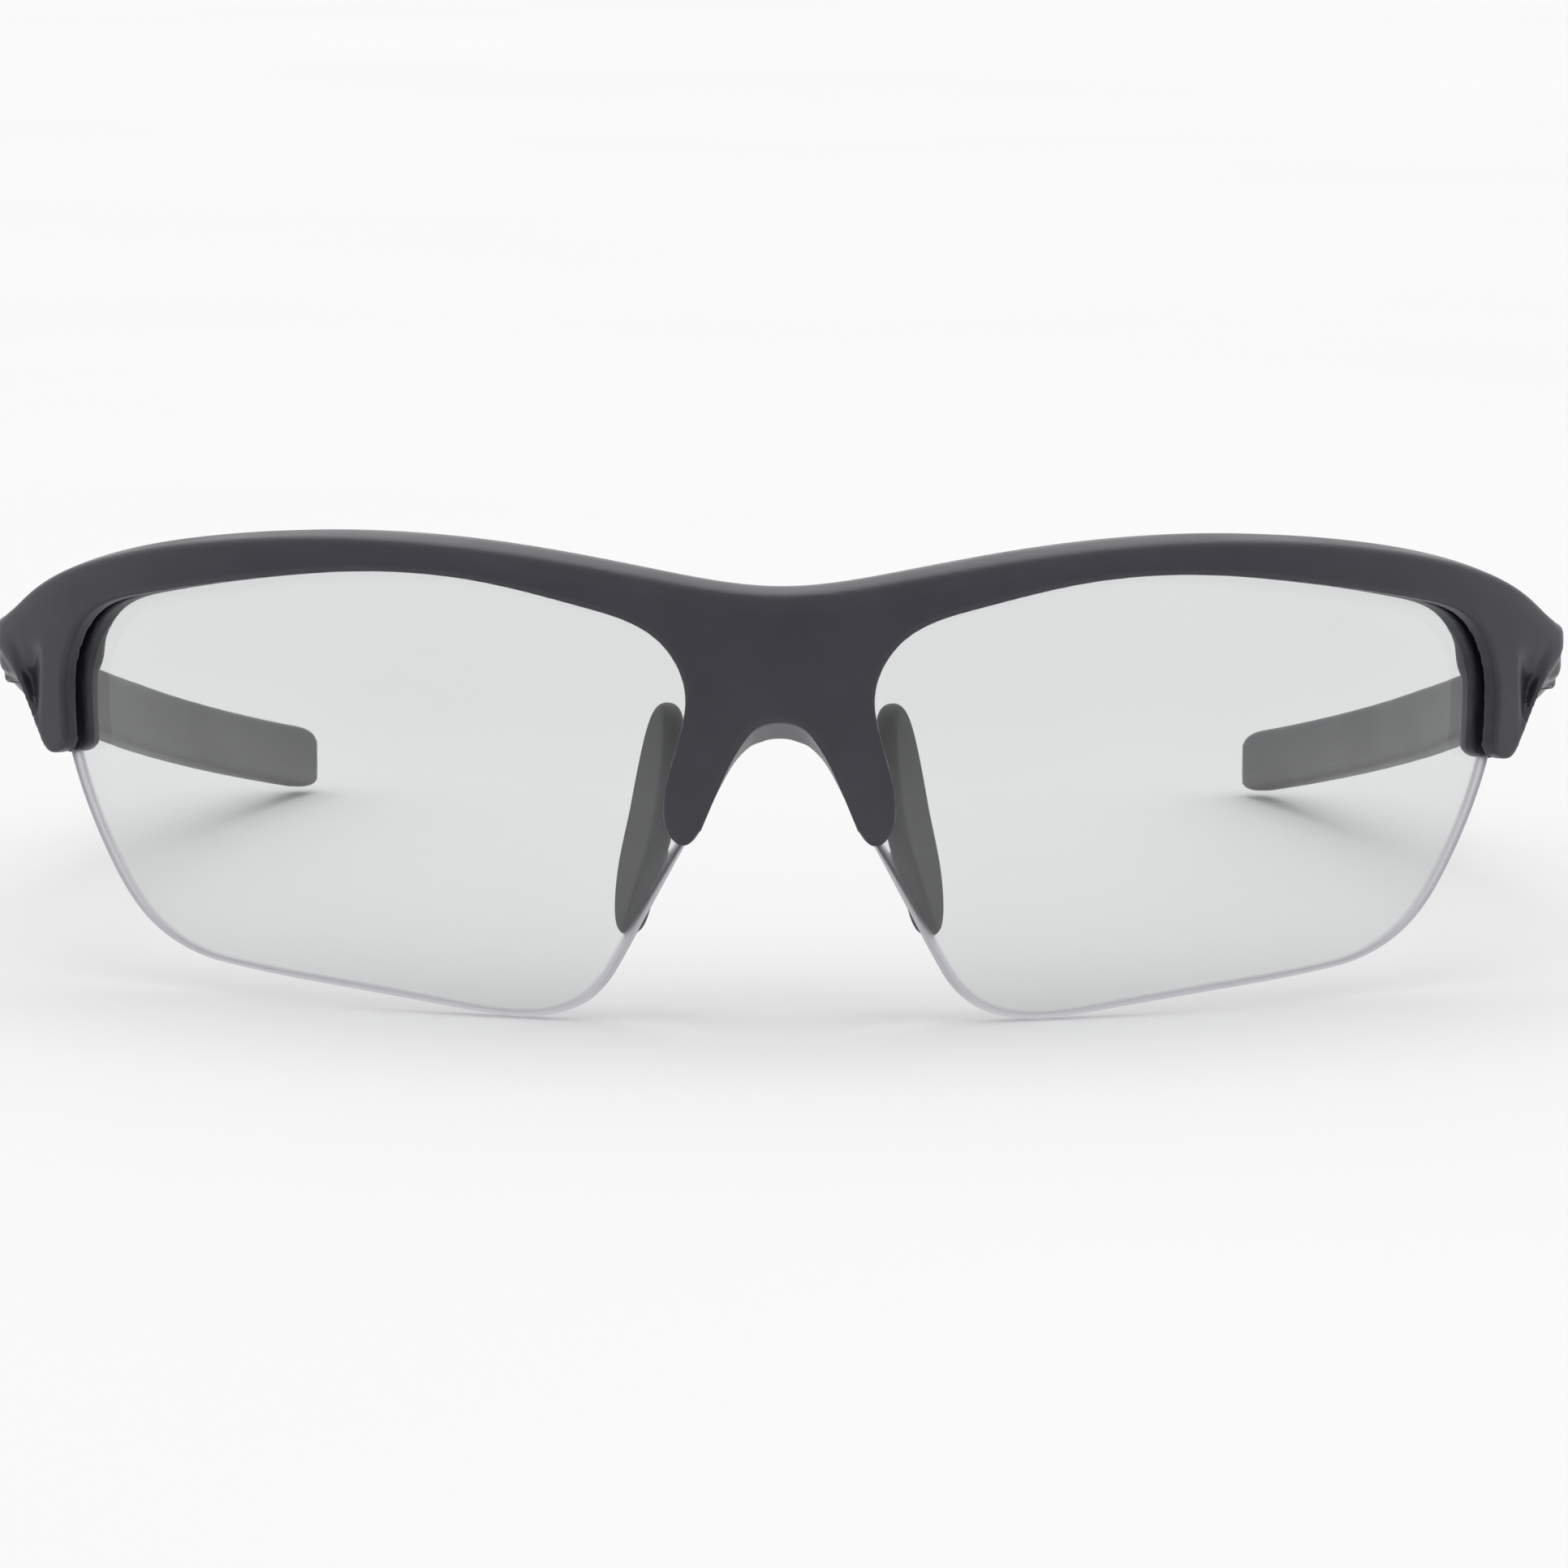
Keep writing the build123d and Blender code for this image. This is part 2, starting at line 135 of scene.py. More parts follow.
arch_edge = smooth_curve(
    [(0, 4.7), (1.7, 4.35), (2.9, 3.2), (4.2, 1.0), (5.6, -2.1), (7.2, -6.0), (8.4, -9.0)],
    (1, 0), (0.4, -1))
ARCH_OUTLINE = np.vstack([arch_edge, [(8.4, -9.0), (-8.4, -9.0)], arch_edge[::-1] * (-1, 1)])

LENS_OUTLINE = np.vstack([
    smooth_curve([(7.2, 7.0), (8.6, 11.4), (14.5, 15.0), (26, 17.6), (37, 18.2), (48, 17.4), (57.5, 16.2),
                  (62.6, 13.2), (63.9, 7.5)], (0.1, 1), (-0.05, -1)),
    smooth_curve([(63.9, 7.5), (62.6, 0.2), (59.1, -8.4), (55.2, -14.0), (48.8, -17.2)],
                 (-0.05, -1), (-1, -0.2)),
    smooth_curve([(48.8, -17.2), (37, -19.0), (27.5, -20.4), (20.6, -20.9), (16.9, -19.8), (14.1, -16.9)],
                 (-1, -0.2), (-0.52, 0.85)),
    smooth_curve([(14.1, -16.9), (7.9, -5.6)], (-0.5, 0.87), (-0.5, 0.87)),
    smooth_curve([(7.9, -5.6), (7.0, 0.6), (7.2, 7.0)], (-0.5, 0.87), (0.1, 1)),
])
SCOOP_OUTLINE = np.array([(64.9, 12.5), (69.4, 11.5), (65.3, 2.6)])
print("outline points", len(FRAME_OUTLINE), len(LENS_OUTLINE))

# %% [markdown]
# A moulded part is all soft corners. Modelling it face by face and bevelling each edge is fragile where many
# edges meet, so its skin is worked out as a distance field instead: a number for each cell of a fine grid,
# below zero inside the plastic and above zero outside. Joining, cutting and rounding are then one line of
# arithmetic each, and the skin is the surface where the number is zero.

# %% Distances to outlines, and how fields are joined
CELL = 0.3


def distance_to(outline, x, y):
    """Distance from points to a closed outline's nearest edge, below zero inside it.

    A point is inside where a line from it to one side crosses an odd number of edges.
    """
    nearest = np.full(x.shape, np.inf)
    inside = np.zeros(x.shape, bool)
    for (ax, ay), (bx, by) in zip(outline, np.roll(outline, -1, axis=0)):
        ex, ey = bx - ax, by - ay
        length2 = ex * ex + ey * ey
        if length2 == 0:
            continue
        along = np.clip(((x - ax) * ex + (y - ay) * ey) / length2, 0, 1)
        nearest = np.minimum(nearest, (x - ax - along * ex) ** 2 + (y - ay - along * ey) ** 2)
        if ay != by:
            crossed = ((ay > y) != (by > y)) & (x < ax + (y - ay) * ex / ey)
            inside ^= crossed
    return np.where(inside, -1, 1) * np.sqrt(nearest)


class OutlineTable:
    """Distances to one outline, worked out once on a flat grid and read off by blending the four nearest."""

    def __init__(self, outline, margin=4.0, step=0.25):
        self.low = outline.min(axis=0) - margin
        self.step = step
        count = np.ceil((outline.max(axis=0) + margin - self.low) / step).astype(int) + 1
        across = self.low[0] + step * np.arange(count[0])
        upwards = self.low[1] + step * np.arange(count[1])
        self.values = distance_to(outline, *np.meshgrid(across, upwards, indexing="ij"))

    def __call__(self, x, y):
        """The distance at any places: a weighted mean of the table's four values around each."""
        i = np.clip((x - self.low[0]) / self.step, 0, self.values.shape[0] - 1.001)
        j = np.clip((y - self.low[1]) / self.step, 0, self.values.shape[1] - 1.001)
        i0 = i.astype(int)
        j0 = j.astype(int)
        fi = i - i0
        fj = j - j0
        v = self.values
        low = v[i0, j0] * (1 - fi) + v[i0 + 1, j0] * fi
        high = v[i0, j0 + 1] * (1 - fi) + v[i0 + 1, j0 + 1] * fi
        return low * (1 - fj) + high * fj


def common(a, b, radius):
    """What lies inside both fields, with the edge between them rounded by a quarter circle."""
    corner = np.hypot(np.maximum(a + radius, 0), np.maximum(b + radius, 0))
    return np.minimum(np.maximum(a, b), -radius) + corner


def joined(a, b, radius):
    """What lies inside either field, with a fillet in the hollow between them."""
    return -common(-a, -b, radius)


def cut(a, b, radius):
    """The first field without the second, with the edge between them rounded."""
    return common(a, -b, radius)


# %% [markdown]
# The grid of cells covers one half of the front only; the other half is the same cells in mirror order. The
# skin is then taken out of the whole grid, and checked: its enclosed volume has to come out positive, which
# says that all its faces look outwards.

# %% From field to mesh
def cells(low, high):
    """Middle points of a block of cells between two corners, as three arrays."""
    axes = [np.arange(math.floor(a / CELL), math.ceil(b / CELL) + 1) * CELL for a, b in zip(low, high)]
    return np.meshgrid(*axes, indexing="ij")


def mesh_object(name, points_mm, faces, body, slot, nodes, material):
    """A smooth-shaded mesh from points in mm, tied to the body, finish and design nodes it stands for."""
    mesh = bpy.data.meshes.new(name)
    mesh.from_pydata((np.asarray(points_mm) * MM).tolist(), [], [list(face) for face in faces])
    mesh.validate()
    mesh.polygons.foreach_set("use_smooth", np.ones(len(mesh.polygons), bool))
    mesh.update()
    piece = bpy.data.objects.new(name, mesh)
    bpy.context.scene.collection.objects.link(piece)
    piece.data.materials.append(material)
    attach(piece, body)
    if nodes:
        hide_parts(*nodes)
    print(name, len(mesh.vertices), "points", len(mesh.polygons), "faces")
    return piece


def enclosed_volume(points, faces):
    """Sum of the signed volumes between the origin and each face, a quad counted as two triangles."""
    quads = np.asarray(faces)
    a, b, c, d = (points[quads[:, k]] for k in range(4))
    return (np.einsum("ij,ij->i", a, np.cross(b, c)) + np.einsum("ij,ij->i", a, np.cross(c, d))).sum() / 6


def skin(field, low):
    """Points and quads of the surface where the field is zero; low is the place of its first cell."""
    band = 3 * CELL
    grid = openvdb.FloatGrid(band)
    grid.copyFromArray(np.clip(field, -band, band).astype(np.float32))
    points, quads = grid.convertToQuads(isovalue=0.0)
    points = np.asarray(points, float) * CELL + np.array(low)
    quads = np.asarray(quads, int)
    if enclosed_volume(points, quads) < 0:
        quads = quads[:, ::-1]
    return points, quads


# %% [markdown]
# Finishes come before pieces, so each piece is made with its material on. The nylon is matt and nearly black
# with a cool cast. A moulded matt surface is never one flat value: the tool's grain shows as fine bumps, and
# handling leaves some places smoother. Both come from noise on Object coordinates.

# %% Materials
def principled(name):
    """A fresh material; returns it with its node tree and its Principled shader."""
    material = bpy.data.materials.new(name)
    material.use_nodes = True
    tree = material.node_tree
    return material, tree, tree.nodes["Principled BSDF"]


def add_node(tree, kind, **values):
    """A new node; each value goes to the socket of that name, or else to the node's own setting."""
    node = tree.nodes.new(kind)
    for key, value in values.items():
        if key in node.inputs:
            node.inputs[key].default_value = value
        else:
            setattr(node, key, value)
    return node


def noise(tree, scale, detail=3.0):
    """Noise over Object coordinates; scale is in waves per metre."""
    place = tree.nodes.get("Texture Coordinate") or add_node(tree, "ShaderNodeTexCoord")
    pattern = add_node(tree, "ShaderNodeTexNoise", Scale=scale, Detail=detail)
    tree.links.new(place.outputs["Object"], pattern.inputs["Vector"])
    return pattern.outputs["Fac"]


NOISE_LOW = 0.3
NOISE_HIGH = 0.7


def map_range(tree, value, start, end, low, high):
    """Values from start to end become values from low to high, and stay there beyond."""
    ranged = add_node(tree, "ShaderNodeMapRange")
    ranged.inputs["From Min"].default_value = start
    ranged.inputs["From Max"].default_value = end
    ranged.inputs["To Min"].default_value = low
    ranged.inputs["To Max"].default_value = high
    tree.links.new(value, ranged.inputs["Value"])
    return ranged.outputs["Result"]


def spread(tree, pattern, low, high):
    """A noise pattern becomes a number between low and high."""
    return map_range(tree, pattern, NOISE_LOW, NOISE_HIGH, low, high)


def shades(tree, pattern, dark, light):
    """A noise pattern becomes a colour between two."""
    mixed = add_node(tree, "ShaderNodeValToRGB")
    for element, position, colour in zip(
        mixed.color_ramp.elements, (NOISE_LOW, NOISE_HIGH), (dark, light)
    ):
        element.position = position
        element.color = (*colour, 1)
    tree.links.new(pattern, mixed.inputs["Fac"])
    return mixed.outputs["Color"]


MOTTLE_WAVES = 220.0
HANDLING_WAVES = 90.0
GRAIN_STRENGTH = 0.35


def moulded(name, dark, light, rough, grain_waves, grain_depth, specular):
    """A moulded plastic or rubber: mottled shade, uneven roughness, fine grain bumps (depth in metres)."""
    material, tree, shader = principled(name)
    link = tree.links.new
    link(shades(tree, noise(tree, MOTTLE_WAVES), dark, light), shader.inputs["Base Color"])
    link(spread(tree, noise(tree, HANDLING_WAVES, 5.0), *rough), shader.inputs["Roughness"])
    bump = add_node(tree, "ShaderNodeBump", Strength=GRAIN_STRENGTH, Distance=grain_depth)
    link(noise(tree, grain_waves, 2.0), bump.inputs["Height"])
    link(bump.outputs["Normal"], shader.inputs["Normal"])
    shader.inputs["Specular IOR Level"].default_value = specular
    return material


frame_nylon = moulded(
    "frame_nylon", (0.029, 0.028, 0.039), (0.034, 0.033, 0.045), (0.32, 0.42),
    grain_waves=5200.0, grain_depth=0.00002, specular=0.5)
grip_rubber = moulded(
    "grip_rubber", (0.032, 0.032, 0.036), (0.041, 0.041, 0.045), (0.36, 0.46),
    grain_waves=3600.0, grain_depth=0.00003, specular=0.4)
pad_rubber = moulded(
    "pad_rubber", (0.058, 0.057, 0.060), (0.068, 0.067, 0.070), (0.50, 0.62),
    grain_waves=3600.0, grain_depth=0.00003, specular=0.4)
print("moulded", frame_nylon.name, grip_rubber.name, pad_rubber.name)

# %% [markdown]
# The hinge screws, nuts and wires are steel. Turning and drawing leave fine lines across or along a part, so
# the noise is squeezed in one direction by a Mapping node before it sets the shade and the roughness.

# %% Metals
LINE_SQUEEZE = (1.0, 1.0, 8.0)


def metal(name, dark, light, rough, line_waves):
    """Machined metal: fine lines along one direction, from noise squeezed by a Mapping node."""
    material, tree, shader = principled(name)
    link = tree.links.new
    place = add_node(tree, "ShaderNodeTexCoord")
    squeeze = add_node(tree, "ShaderNodeMapping")
    squeeze.inputs["Scale"].default_value = LINE_SQUEEZE
    link(place.outputs["Object"], squeeze.inputs["Vector"])
    lines = add_node(tree, "ShaderNodeTexNoise", Scale=line_waves, Detail=3.0)
    link(squeeze.outputs["Vector"], lines.inputs["Vector"])
    link(shades(tree, lines.outputs["Fac"], dark, light), shader.inputs["Base Color"])
    link(spread(tree, lines.outputs["Fac"], *rough), shader.inputs["Roughness"])
    shader.inputs["Metallic"].default_value = 1.0
    return material


screw_steel = metal("screw_steel", (0.42, 0.42, 0.43), (0.56, 0.56, 0.57), (0.22, 0.38), 3000.0)
spring_steel = metal("spring_steel", (0.50, 0.50, 0.51), (0.60, 0.60, 0.61), (0.25, 0.40), 2400.0)
nut_steel = metal("nut_steel", (0.12, 0.12, 0.125), (0.19, 0.19, 0.20), (0.34, 0.48), 2600.0)
print("metals", screw_steel.name, spring_steel.name, nut_steel.name)

# %% [markdown]
# The lenses are clear polycarbonate with a light neutral tint. The shader bends light as the real plastic
# does. The ground rim is duller, and its darker grey is painted shade standing in for how the edge looks
# dark through the lens's thickness; an attribute named rim, kept on the mesh, says where it is. A fine
# scatter of roughness, strongest in small patches, stands for handling marks. A renderer without caustics
# would give a clear lens a heavy shadow, so shadow rays meet a pale see-through shader in its place.

# %% Lens material
# painted shade: the rim's darker grey stands in for the dark look of the lens edge, not a colour of its own
RIM_PAINTED_SHADE = (0.47, 0.46, 0.51)
RIM_ROUGHNESS = 0.4
HANDLED_ROUGHNESS = 0.02
SHADOW_TINT = (0.84, 0.85, 0.86)


def clear_lens():
    """Clear plastic: tint and roughness go from their polished values to the rim's painted shade and ground
    roughness with the rim.
    """
    material, tree, shader = principled("lens_clear")
    link = tree.links.new
    shader.inputs["Transmission Weight"].default_value = 1.0
    shader.inputs["IOR"].default_value = 1.50
    shader.inputs["Specular IOR Level"].default_value = 0.35
    rim = add_node(tree, "ShaderNodeAttribute", attribute_name="rim").outputs["Fac"]
    # real lens tint on the faces, blended into the painted shade of the rim
    tint_and_rim_shade = add_node(tree, "ShaderNodeMix", data_type="RGBA")
    link(rim, tint_and_rim_shade.inputs["Factor"])
    link(shades(tree, noise(tree, 60.0), (0.768, 0.783, 0.784), (0.778, 0.793, 0.794)), tint_and_rim_shade.inputs["A"])
    tint_and_rim_shade.inputs["B"].default_value = (*RIM_PAINTED_SHADE, 1)
    link(tint_and_rim_shade.outputs["Result"], shader.inputs["Base Color"])
    ground = add_node(tree, "ShaderNodeMath", operation="MULTIPLY_ADD")
    link(rim, ground.inputs[0])
    ground.inputs[1].default_value = RIM_ROUGHNESS
    link(spread(tree, noise(tree, 140.0, 6.0), 0.0, HANDLED_ROUGHNESS), ground.inputs[2])
    link(ground.outputs["Value"], shader.inputs["Roughness"])
    shadow_side = add_node(tree, "ShaderNodeBsdfTransparent")
    shadow_side.inputs["Color"].default_value = (*SHADOW_TINT, 1)
    rays = add_node(tree, "ShaderNodeLightPath")
    mix = add_node(tree, "ShaderNodeMixShader")
    link(rays.outputs["Is Shadow Ray"], mix.inputs["Fac"])
    link(shader.outputs["BSDF"], mix.inputs[1])
    link(shadow_side.outputs["BSDF"], mix.inputs[2])
    link(mix.outputs["Shader"], tree.nodes["Material Output"].inputs["Surface"])
    return material


lens_clear = clear_lens()

# %% [markdown]
# Now the front. Its wall field asks each cell for the place on the front sphere that the leaning wall leads
# to, and reads the outline's distance there. Dividing by the field's own slope turns a distance measured in
# the flat front view into a true one on the wrapped sides, so the rounded edges keep one radius all along.

# %% Carrying cells along the leaning edge walls
WALL_STEPS = 14
# cells far outside the sphere have no wall through them, so two quantities are held above zero there
LEAST_SQUARE = 100.0
LEAST_DEPTH = 1.0
SLOPE_LIMITS = (0.45, 1.5)


def onto_front(x, up, depth, radius):
    """The x on the front sphere whose wall passes through this cell: a damped fixed-point search."""
    front_x = x.copy()
    for _ in range(WALL_STEPS):
        on_sphere = np.sqrt(np.maximum(radius**2 - front_x**2 - up**2, LEAST_SQUARE))
        front_x = 0.5 * (front_x + x * (on_sphere - WALL_LINE) / np.maximum(depth - WALL_LINE, LEAST_DEPTH))
    return front_x


def true_distance(field):
    """The field divided by its own slope, measured on the grid and kept within reason."""
    slope = np.sqrt(sum(part**2 for part in np.gradient(field, CELL)))
    return field / np.clip(slope, *SLOPE_LIMITS)


def ramp(value, start, end):
    """0 before start, 1 after end, and a smooth step between them."""
    t = np.clip((value - start) / (end - start), 0, 1)
    return t * t * (3 - 2 * t)


# %% [markdown]
# The hinge has its own three directions: sideways, along the open temple, and up the pin, which leans back
# by as much as the temples slope down to the table. A part of the hinge is drawn once in these directions,
# on the +X side; the other side is its mirror image.

# %% The hinge's own directions and sizes
HINGE = (67.6, BRIDGE_Y + 39.7, 27.25)
LEAN = math.radians(15.0)
LUG_R = 2.0
LUG_HALF = 2.65
TONGUE_HALF = 1.2
BUTT = 2.05


def hinge_view(x, y, z):
    """A place in mm becomes (sideways, along the temple, up the pin), measured from the pin's middle."""
    dy = y - HINGE[1]
    dz = z - HINGE[2]
    return x - HINGE[0], dy * math.cos(LEAN) - dz * math.sin(LEAN), dy * math.sin(LEAN) + dz * math.cos(LEAN)


BLOCK_OUTLINE = np.array([(-9, -9), (2.1, -9), (2.1, BUTT), (0, BUTT), (0, 0), (-1.0, -1.73), (-9, -8)])
print("hinge pin at", HINGE)

# %% [markdown]
# The front is a shell between two spheres, cut by its outline. The real one has a brow whose top slopes back
# from the front edge, a soft crease below that edge, and a triangular hollow pressed into each swept end.
# These are small numbers added to the shell's radius or height, faded in and out by smooth steps.

# %% Brow, swept end and nose arch
EDGE_ROUND = 0.35
BEVEL_HIGH = 0.8
BEVEL_DEEP = 2.8
BEVEL_ROUND = 0.4
CREASE_DEEP = 0.3
CREASE_BAND = (0.2, 2.9)
CREASE_LOSS = 0.4
CREASE_LOSS_X = (20, 55)
SCOOP_DEEP = 1.5
SCOOP_WALL = (0.0, 1.0)
SCOOP_TOP = (6.0, 11.0)
ARCH_FALL = 0.3
ARCH_FALL_X = (1.7, 2.9, 4.2, 5.6, 7.2)
ARCH_FALL_PART = (1.0, 0.7, 0.35, 0.1, 0.0)
ARCH_ROUND = 0.3


def brow_shell(wall_x, side, up, r, below_top):
    """Between the two spheres, less a crease that fades down the brow and a hollow near the ear."""
    crease_here = 1 - CREASE_LOSS * ramp(wall_x, *CREASE_LOSS_X)
    crease = CREASE_DEEP * (1 - ramp(below_top, *CREASE_BAND)) * crease_here
    into_scoop = -OutlineTable(SCOOP_OUTLINE)(side, up)
    scoop = SCOOP_DEEP * ramp(into_scoop, *SCOOP_WALL) * (1 - ramp(up, *SCOOP_TOP))
    return np.maximum(r - (FRONT_R - crease - scoop), BACK_R - r)


def brow_bevel(below_top, r):
    """The brow's top: a plane that climbs from the front edge to a ridge further back."""
    behind_face = np.clip((FRONT_R - r) / BEVEL_DEEP, 0, 1)
    return (BEVEL_HIGH * (1 - behind_face) - below_top) / math.hypot(1, BEVEL_HIGH / BEVEL_DEEP)


def nose_arch(side, up, depth):
    """The arch's outline, lowered in step with the distance behind the front, most in the middle."""
    fall = ARCH_FALL * (FRONT_R - depth)
    part = np.interp(side, ARCH_FALL_X, ARCH_FALL_PART)
    return OutlineTable(ARCH_OUTLINE)(side, up + fall * part)


# %% [markdown]
# Each swept end carries a hinge block with two lugs, an upper and a lower one. The temple's tongue turns
# between them, so the room for it, the screw and the nut is cut out of the block. The groove for the lens is
# the lens itself, a little larger.

# %% Hinge block, hinge room and lens groove
BLOCK_ROUND = 1.6
LUG_ROUND = 0.3
BLOCK_SETBACK = 0.6
BLOCK_INNER_X = 63.0
BLOCK_INNER_ROUND = 0.5
GROOVE_EDGE_PLAY = 0.15
GROOVE_FACE_PLAY = 0.06
SWING_GAP = 0.3
PIN_GAP = 0.15
ROOM_SHIFT = 1.0
ROOM_HALF = 3.3
BORE_R = 0.72
HEAD_POCKET = (1.22, 0.6)
NUT_POCKET = (1.25, 0.75)


def hinge_block(hx, along, pin, wall_x, r):
    """A round-cornered block that ends in the lugs, behind the front face and outside the lens opening."""
    block = common(OutlineTable(BLOCK_OUTLINE)(hx, along), np.abs(pin) - LUG_HALF, BLOCK_ROUND)
    lug = common(np.hypot(hx, along) - LUG_R, np.abs(pin) - LUG_HALF, LUG_ROUND)
    block = common(np.minimum(block, lug), r - (FRONT_R - BLOCK_SETBACK), BLOCK_SETBACK)
    return common(block, BLOCK_INNER_X - wall_x, BLOCK_INNER_ROUND)


def hinge_room(hx, along, pin):
    """Room for the turning tongue and root, the screw's bore, and pockets (radius, depth) in the lugs."""
    from_pin = np.hypot(hx, along)
    root_room = np.maximum(np.abs(hx + ROOM_SHIFT) - ROOM_HALF, np.abs(along - ROOM_SHIFT) - ROOM_HALF)
    room = np.minimum(from_pin - LUG_R - SWING_GAP, root_room)
    room = np.maximum(room, np.abs(pin) - TONGUE_HALF - PIN_GAP)
    head = np.maximum(from_pin - HEAD_POCKET[0], LUG_HALF - HEAD_POCKET[1] - pin)
    nut = np.maximum(from_pin - NUT_POCKET[0], pin + LUG_HALF - NUT_POCKET[1])
    return np.minimum(np.minimum(room, from_pin - BORE_R), np.minimum(head, nut))


def lens_groove(side, up, depth, r):
    """The lens's own edge and faces, moved outwards by the play."""
    lens_x = onto_front(side, up, depth, LENS_R)
    edge = OutlineTable(LENS_OUTLINE)(lens_x, up) - GROOVE_EDGE_PLAY
    faces = np.abs(r - LENS_R + LENS_THICK / 2) - LENS_THICK / 2 - GROOVE_FACE_PLAY
    return np.maximum(edge, faces)


# %% [markdown]
# With its parts ready, the front is a short sum: shell and outline in common, bevel, arch, block, the square
# end that stops the temple, and the cuts last, so that their edges stay crisp.

# %% The front
BLOCK_FILLET = 0.8
BUTT_ROUND = 0.15
HALF_WIDTH = 69.78
END_ROUND = 0.5


def front_field(x, y, z):
    """Distance to the front's skin, its parts joined and cut in the order in which they are named above."""
    side, up, depth, r = front_view(x, y, z)
    hx, along, pin = hinge_view(side, y, z)
    wall_x = onto_front(side, up, depth, FRONT_R)
    wall = true_distance(OutlineTable(FRAME_OUTLINE)(wall_x, up))
    below_top = np.interp(wall_x, brow_top[:, 0], brow_top[:, 1]) - up
    body = common(wall, brow_shell(wall_x, side, up, r, below_top), EDGE_ROUND)
    body = common(body, brow_bevel(below_top, r), BEVEL_ROUND)
    body = cut(body, nose_arch(side, up, depth), ARCH_ROUND)
    body = joined(body, hinge_block(hx, along, pin, wall_x, r), BLOCK_FILLET)
    body = common(body, along - BUTT, BUTT_ROUND)
    body = common(body, side - HALF_WIDTH, END_ROUND)
    body = np.maximum(body, -lens_groove(side, up, depth, r))
    return np.maximum(body, -hinge_room(hx, along, pin))


def whole_from_half(field):
    """Cells from x = 0 outwards, preceded by their own mirror image."""
    return np.concatenate([field[:0:-1], field], axis=0)


HALF_LOW = (0, -73.2, 13.5)
HALF_HIGH = (71.4, -28.0, 42.0)
half_x, grid_y, grid_z = cells(HALF_LOW, HALF_HIGH)
half = front_field(half_x, grid_y, grid_z)
first_cell = (-half_x.max(), grid_y.min(), grid_z.min())
front_skin = skin(whole_from_half(half), first_cell)
mesh_object("front_skin", *front_skin, "front", "frame_plastic", ["front_frame"], frame_nylon)

# %% [markdown]
# A lens is a shell between two spheres with a rounded rim. Its skin is a surface of two parameters: one
# walks around the outline, the other goes from the middle of the front face outwards, round the rim, and
# back to the middle of the rear face. The middle points close into two poles.

# %% The lens's surface
LENS_MIDDLE = np.array([35.0, -1.0])
FACE_STEPS = np.append(np.linspace(0, 0.96, 14), 0.985)
RIM_ROUND = 0.6
RIM_TURN = np.linspace(0, math.pi / 2, 5)
SETTLE_STEPS = 12


def on_lens(flat, radius):
    """Flat front-view points on a sphere of this radius, drawn in along the wall line from the front."""
    x, up = flat[:, 0], flat[:, 1]
    at_front = np.sqrt(LENS_R**2 - x**2 - up**2)
    depth = at_front - (LENS_R - radius)
    for _ in range(SETTLE_STEPS):
        inner_x = x * (depth - WALL_LINE) / (at_front - WALL_LINE)
        depth = np.sqrt(radius**2 - inner_x**2 - up**2)
    return np.column_stack([inner_x, up, depth])


def lens_surface(side):
    """Around the outline (u) by in-out-over-back (v). The rim is two quarter circles, 0.6 mm each."""
    direction = LENS_OUTLINE[::2] - LENS_MIDDLE
    reach = np.linalg.norm(direction, axis=1, keepdims=True)
    face = [LENS_MIDDLE + direction * part * (1 - RIM_ROUND / reach) for part in FACE_STEPS]
    rim = [LENS_MIDDLE + direction * (1 - RIM_ROUND * (1 - math.sin(turn)) / reach) for turn in RIM_TURN]
    sink = RIM_ROUND * (1 - np.cos(RIM_TURN))
    rows = [on_lens(flat, LENS_R) for flat in face]
    rows += [on_lens(flat, LENS_R - s) for flat, s in zip(rim, sink)]
    rows += [on_lens(flat, LENS_R - LENS_THICK + s) for flat, s in zip(rim[::-1], sink[::-1])]
    rows += [on_lens(flat, LENS_R - LENS_THICK) for flat in face[::-1]]
    grid = np.array(rows) * (side, 1, 1)
    ground = np.repeat([0.0, 1.0, 0.0], [len(face), 2 * len(rim), len(face)])
    return np.stack(from_front_view(grid[..., 0], grid[..., 1], grid[..., 2]), axis=-1), ground


# %% [markdown]
# A grid that wraps around has its last column joined to its first, and its first and last rows are each one
# point. Fans of triangles close these two poles, so the mesh has no hole and no doubled points.

# %% Closing a grid into a mesh
def closed_faces(rows, columns):
    """Quads of a grid that wraps around in its columns."""
    i, j = np.meshgrid(np.arange(rows - 1), np.arange(columns), indexing="ij")
    k = (j + 1) % columns
    below, above = i * columns, (i + 1) * columns
    return np.stack([below + j, below + k, above + k, above + j], -1).reshape(-1, 4)


def capped_grid(grid):
    """Points and faces of a wrapped grid whose first and last rows are single points."""
    rows, columns = grid.shape[:2]
    points = np.vstack([grid[0, :1], grid[1:-1].reshape(-1, 3), grid[-1, :1]])
    quads = closed_faces(rows - 2, columns) + 1
    ring = np.arange(columns)
    after = (ring + 1) % columns
    last = len(points) - 1
    first_fan = np.column_stack([np.zeros(columns, int), 1 + after, 1 + ring])
    base = 1 + (rows - 3) * columns
    last_fan = np.column_stack([np.full(columns, last), base + ring, base + after])
    return points, quads, first_fan, last_fan


def closed_piece(name, grid, body, slot, nodes, material):
    """A capped grid as a mesh whose faces look outwards."""
    points, quads, first_fan, last_fan = capped_grid(grid)
    if enclosed_volume(points, quads) < 0:
        quads, first_fan, last_fan = quads[:, ::-1], first_fan[:, ::-1], last_fan[:, ::-1]
    faces = list(quads) + list(first_fan) + list(last_fan)
    return mesh_object(name, points, faces, body, slot, nodes, material)


